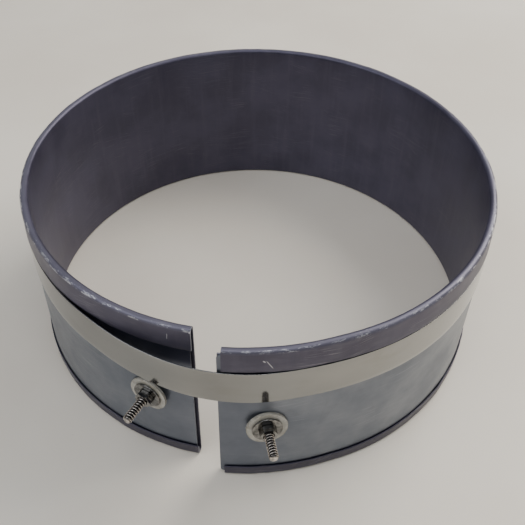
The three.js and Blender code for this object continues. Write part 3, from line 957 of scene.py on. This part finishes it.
def build_terminal(side, finishes):
    turning = f"{side}_nut_turn"
    build_stud(side, finishes["thread"])
    build_bush(side, finishes["mica"])

    place, thickness = node_frame(f"{side}_mica_washer", turning)
    washer = skin(f"{side}_layered_washer", mica_washer_rings(place, thickness), closed=True)
    node = f"{side}_mica_washer"
    finish_part(washer, f"{side}_mica", node, finishes["mica"], place)

    name, node, body = f"{side}_plain_washer", f"{side}_steel_washer", f"{side}_washer"
    build_plain_washer(name, node, turning, body, STEEL_WASHER_RADII, 0.22, finishes["small"])

    place, height = node_frame(f"{side}_hex_nut", turning)
    nut = skin(f"{side}_chamfered_nut", nut_rings(place, height), closed=True)
    finish_part(nut, f"{side}_nut", f"{side}_hex_nut", finishes["small"], place, 25)


# ---- Strap and lock ----


def smooth_through(values, place):
    """A Catmull-Rom curve through equally spaced values; place is from 0 to their count less 1."""
    k = min(int(place), len(values) - 2)
    t = place - k
    before = values[max(k - 1, 0)]
    after = values[min(k + 2, len(values) - 1)]
    a, b = values[k], values[k + 1]
    slope_a, slope_b = (b - before) / 2, (after - a) / 2
    rise = b - a
    squared = 3 * rise - 2 * slope_a - slope_b
    cubed = slope_a + slope_b - 2 * rise
    return a + slope_a * t + squared * t**2 + cubed * t**3


def strap_radius(angle):
    """The strap's inner face, from the axis."""
    turn = angle - 360 if angle > 90 else angle
    place = (turn - SLACK_FROM) / SLACK_STEP
    slack = smooth_through(SLACK, place) if 0 < place < len(SLACK) - 1 else LAY
    return RADIUS + COVER_FACE + slack


def lock_frame():
    """From above, +X runs clockwise along the ring through the lock and +Y points outwards."""
    matrix = Matrix.Rotation(math.radians(LOCK_ANGLE - 90), 4, "Z")
    matrix.translation = Vector((0, 0, LOCK_HEIGHT))
    return matrix


def rolled_end(side):
    """One rolled end of the strap's centre line, from the ring round its barrel and back."""

    def line(facets, lap):
        angle = LOCK_ANGLE - side * facets * FACET
        return polar(angle, strap_radius(angle) + STRAP_THICKNESS / 2 + lap)

    centre = np.array([side * BARREL_APART, BARREL_OUT])
    start = -90 - side * LOOP_FACETS["from"] * FACET
    turns = start - side * LOOP_TURN * np.linspace(0, 1, LOOP_STEPS + 1)
    points = [line(LOOP_FACETS["from"], 0)]
    for turn in turns:
        x, y = polar(turn, LOOP_RADIUS) + centre
        points.append(to_space(lock_frame(), (x, y, 0))[:2])
    tail = np.linspace(LOOP_FACETS["to"], LOOP_FACETS["tail"], 12)
    return [*points, *(line(facets, LOOP_LAP) for facets in tail)]


def eased(points, reach=4, steps=8):
    """Replaces each clear corner of a line by a short curve."""
    line = [points[0]]
    for before, here, after in zip(points, points[1:], points[2:]):
        into, outof = here - before, after - here
        lengths = np.linalg.norm(into), np.linalg.norm(outof)
        into, outof = into / lengths[0], outof / lengths[1]
        if into @ outof > math.cos(math.radians(3)):
            line.append(here)
            continue
        cut_back = min(reach, 0.45 * lengths[0], 0.45 * lengths[1])
        start, end = here - into * cut_back, here + outof * cut_back
        for t in np.linspace(0, 1, steps):
            line.append((1 - t) ** 2 * start + 2 * t * (1 - t) * here + t**2 * end)
    return np.array([*line, points[-1]])


def strap_line():
    loop = LOOP_FACETS["from"] * FACET
    start, end = LOCK_ANGLE - loop, LOCK_ANGLE + loop - 360
    count = round((start - end) / STATION)
    middle = []
    for angle in np.linspace(start, end, count + 1)[1:-1]:
        middle.append(polar(angle, strap_radius(angle) + STRAP_THICKNESS / 2))
    return eased([*rolled_end(1)[::-1], *middle, *rolled_end(-1)])


def rivet_frames():
    """Each rivet's name and the frame whose +Z is its axis, from the strap's inner face outwards."""
    places = []
    for side, hand in ((1, "right"), (-1, "left")):
        angle = LOCK_ANGLE - side * RIVET_FACETS * FACET
        for end, level in ((-1, "lower"), (1, "upper")):
            x, y = polar(angle, strap_radius(angle))
            turn = Matrix.Rotation(math.radians(angle), 4, "Z") @ Matrix.Rotation(math.pi / 2, 4, "Y")
            turn.translation = Vector((x, y, LOCK_HEIGHT + end * RIVET_SPREAD))
            places.append((f"rivet_{level}_{hand}", turn))
    return places


def lock_box(name, low, high):
    corners = [(low[0], low[1]), (high[0], low[1]), (high[0], high[1]), (low[0], high[1])]
    rings = [[(x, y, z) for x, y in corners] for z in (low[2], high[2])]
    return skin(name, [to_space(lock_frame(), ring) for ring in rings])


def build_strap(material):
    line = strap_line()
    along = np.gradient(line, axis=0)
    along /= np.linalg.norm(along, axis=1)[:, None]
    out = np.stack([-along[:, 1], along[:, 0]], axis=1)
    half = STRAP_THICKNESS / 2
    low, high = STRAP_HEIGHTS
    section = rounded_box_section((-half, low), (half, high), 0.14, (8, 1))
    rings = []
    for point, side in zip(line, out):
        flat = point + section[:, :1] * side
        rings.append(np.column_stack([flat, section[:, 1]]))
    strap = skin("polished_strap", rings)
    reach = SLOT_REACH
    slot = lock_box("slot", (-reach, SLOT_OUT[0], -SLOT_HALF), (reach, SLOT_OUT[1], SLOT_HALF))
    top = 3
    holes = [rod(f"{name}_hole", place, RIVET_HOLE, -PAST, top) for name, place in rivet_frames()]
    cut(strap, slot, *holes)
    finish_piece(strap, "strap", ["clamp_strap"], material, strap_coordinates)


def build_barrel(name, side, bore, material):
    half = BARREL_LENGTH / 2
    centre = lock_frame() @ Matrix.Translation((side * BARREL_APART, BARREL_OUT, 0))
    edge = 0.5
    ends = [(BARREL_RADIUS - edge, half), (BARREL_RADIUS - 0.15, half - 0.15), (BARREL_RADIUS, half - edge)]
    outline = [(radius, -height) for radius, height in ends] + ends[::-1]
    barrel = lathe(f"{name}_turned", centre, outline, sides=96)
    across = centre @ Matrix.Rotation(math.pi / 2, 4, "Y")
    tools = [rod(f"{name}_bore", across, bore, -BORE_REACH, BORE_REACH)]
    if side > 0:
        x, y = BARREL_APART + BARREL_SEAT, BARREL_OUT
        depth, wide, high = SEAT_CUT
        tools.append(lock_box("seat", (x, y - wide, -high), (x + depth, y + wide, high)))
    cut(barrel, *tools)
    finish_part(barrel, "strap", name, material, centre)


def build_screw(material):
    place, length = node_frame("clamp_screw", "clamp_screw_turn")
    head_from = length - SCREW_HEAD
    under_head = place @ Matrix.Translation((0, 0, head_from))
    sides = 96
    flip = under_head @ Matrix.Rotation(math.pi, 4, "X")
    thread_from, plain_to, fillet = 2.5, 1.9, 0.3
    shank = thread_rings(
        flip, thread_from, SCREW_LENGTH, SCREW_PITCH, SCREW_RADIUS, SCREW_THREAD, sides=sides, steps=12
    )
    plain = [(SCREW_RADIUS, plain_to), (SCREW_RADIUS, fillet), (SCREW_RADIUS + fillet, 0)]
    rings = shank[::-1] + rings_about(flip, plain, sides)
    radius, face, drop = chamfered_hexagon(SCREW_FLATS, sides, 0.96)
    rows = [(radius - 0.1, 0), (radius, -0.1), (radius, drop - SCREW_HEAD), (face, -SCREW_HEAD)]
    rows += [(face - 1.5, 0.05 - SCREW_HEAD), (face - 2.2, 0.3 - SCREW_HEAD)]
    screw = skin("threaded_clamp_screw", rings + rings_about(flip, rows, sides))
    finish_part(screw, "screw", "clamp_screw", material, place, 25)

    name, node, turning = "screw_seat_washer", "screw_washer", "clamp_screw_turn"
    build_plain_washer(name, node, turning, "screw_seat", SCREW_WASHER_RADII, 0.25, material)


def build_rivets(material):
    seat = STRAP_THICKNESS + LOOP_LAP + GAP
    for name, place in rivet_frames():
        outline = [(RIVET_SHANK, 0.05), (RIVET_SHANK, seat), (RIVET_HEAD - 0.1, seat)]
        for turn in np.linspace(0, 84, 9):
            x, y = polar(turn, 1)
            outline.append((RIVET_HEAD * x, seat + 0.12 + (RIVET_DOME - 0.12) * y))
        rivet = lathe(f"{name}_domed", place, outline, sides=48)
        finish_part(rivet, "strap", name, material, place)


# ---- Stage ----

CAMERA_AT = Vector((0.00309, -0.33926, 0.35891))
LOOKING_AT = Vector((0.00309, 0.02583, 0))
CAMERA_ROLL = 1.23
FOCAL_LENGTH = 52.8
FLOOR_GAP = 0.0002
ROOM_COLOUR = (0.92, 0.95, 1, 1)
ROOM_HEIGHTS = (0.05, 0.9)
ROOM_STRENGTHS = (0.12, 0.54)  # at the horizon and overhead
LIGHTS_AIM = Vector((0, 0, 0.03))
LIGHTS = {  # place and size in metres, power in watts, colour
    "window": ((0.88, 0.62, 0.95), (1, 1), 20.5, (1, 0.96, 0.89)),
    "fill": ((-1, -0.6, 1.1), (1.2, 1.2), 8, (0.93, 0.96, 1)),
    "overhead": ((0, -0.35, 1.3), (0.5, 0.3), 2.5, (0.97, 0.98, 1)),
}


def build_camera():
    back = (CAMERA_AT - LOOKING_AT).normalized()
    level = Vector((0, 0, 1)).cross(back).normalized()
    upright = back.cross(level)
    roll = math.radians(CAMERA_ROLL)
    x = level * math.cos(roll) + upright * math.sin(roll)
    data = bpy.data.cameras.new("camera")
    data.lens = FOCAL_LENGTH
    data.sensor_width = 36
    camera = new_object("camera", data)
    camera.matrix_world = Matrix((x, back.cross(x), back)).transposed().to_4x4()
    camera.location = CAMERA_AT
    bpy.context.scene.camera = camera


def build_floor():
    """A plain pale painted board."""
    mesh = bpy.data.meshes.new("floor")
    side = 3
    corners = [(-side, -side, 0), (side, -side, 0), (side, side, 0), (-side, side, 0)]
    mesh.from_pydata(corners, [], [(0, 1, 2, 3)])
    floor = new_object("floor", mesh)
    store_run(mesh, np.array(corners) / MM)
    board = Finish("floor_paint")
    clouds = board.noise(180, 4, 0.55)
    colour = board.mix(board.span(clouds, 0.3, 0.7), (228, 219, 205), (236, 229, 216))
    specks = board.span(board.noise(2.4, 2, 0.5), 0.72, 0.8)
    colour = board.over(colour, specks, 0.12, (150, 142, 130))
    board.paint(colour, board.span(clouds, 0.3, 0.7, 0.45, 0.55))
    board.bump(board.noise(1.5, 3, 0.6), 0.03)
    mesh.materials.append(board.material)
    floor.location.z = -FLOOR_GAP


def area_light(name, place, size, watts, colour):
    data = bpy.data.lights.new(name, "AREA")
    data.shape = "RECTANGLE"
    data.size, data.size_y = size
    data.energy = watts
    data.color = colour
    light = new_object(name, data)
    light.location = place
    light.rotation_euler = (Vector(place) - LIGHTS_AIM).to_track_quat("Z", "Y").to_euler()


def build_room():
    """Light from all round: dim at the horizon and brighter overhead."""
    world = bpy.data.worlds.new("room")
    world.use_nodes = True
    nodes, links = world.node_tree.nodes, world.node_tree.links
    background = nodes["Background"]
    background.inputs["Color"].default_value = ROOM_COLOUR
    place = nodes.new("ShaderNodeTexCoord")
    parts = nodes.new("ShaderNodeSeparateXYZ")
    links.new(place.outputs["Generated"], parts.inputs[0])
    ceiling = nodes.new("ShaderNodeMapRange")
    ceiling.interpolation_type = "SMOOTHSTEP"
    ends = ("From Min", "From Max", "To Min", "To Max")
    for name, value in zip(ends, ROOM_HEIGHTS + ROOM_STRENGTHS):
        ceiling.inputs[name].default_value = value
    links.new(parts.outputs["Z"], ceiling.inputs["Value"])
    links.new(ceiling.outputs["Result"], background.inputs["Strength"])
    bpy.context.scene.world = world


def build_lights():
    for name, (place, size, watts, colour) in LIGHTS.items():
        area_light(name, place, size, watts, colour)


# ---- Assembly ----


def build_object():
    build_sheath(sheath_material())
    build_cover(cover_material())
    sheet_mica = mica_material("mica_sheet", (196, 184, 150), (170, 156, 122), 0.2)
    build_mica_sheets(sheet_mica)
    build_card(sheet_mica)
    alloy = ribbon_material()
    build_ribbon(alloy)
    build_tabs(alloy)
    finishes = {
        "thread": plated_material(
            "plated_thread",
            STUD_RADIUS - STUD_ROOT_SHADE[0],
            STUD_RADIUS - STUD_ROOT_SHADE[1],
            (214, 207, 201),
            tip=STUD_REACH,
        ),
        "small": plated_material("plated_small_parts", 0.5, 1, (146, 145, 143)),
        "mica": mica_material(
            "mica_washer", (198, 195, 185), (130, 126, 115), 0.75, rim=MICA_WASHER_RADII[1]
        ),
    }
    for side in STUD_ANGLES:
        build_terminal(side, finishes)
    strip = strap_material()
    build_strap(strip)
    screw_root = SCREW_RADIUS - SCREW_THREAD
    lock_steel = plated_material("plated_lock", screw_root, SCREW_RADIUS - 0.1, (176, 172, 166))
    build_barrel("plain_barrel", 1, BARREL_BORE["plain"], finishes["small"])
    build_barrel("tapped_barrel", -1, BARREL_BORE["tapped"], finishes["small"])
    build_screw(lock_steel)
    build_rivets(finishes["small"])


build_object()
build_floor()
build_room()
build_lights()
build_camera()
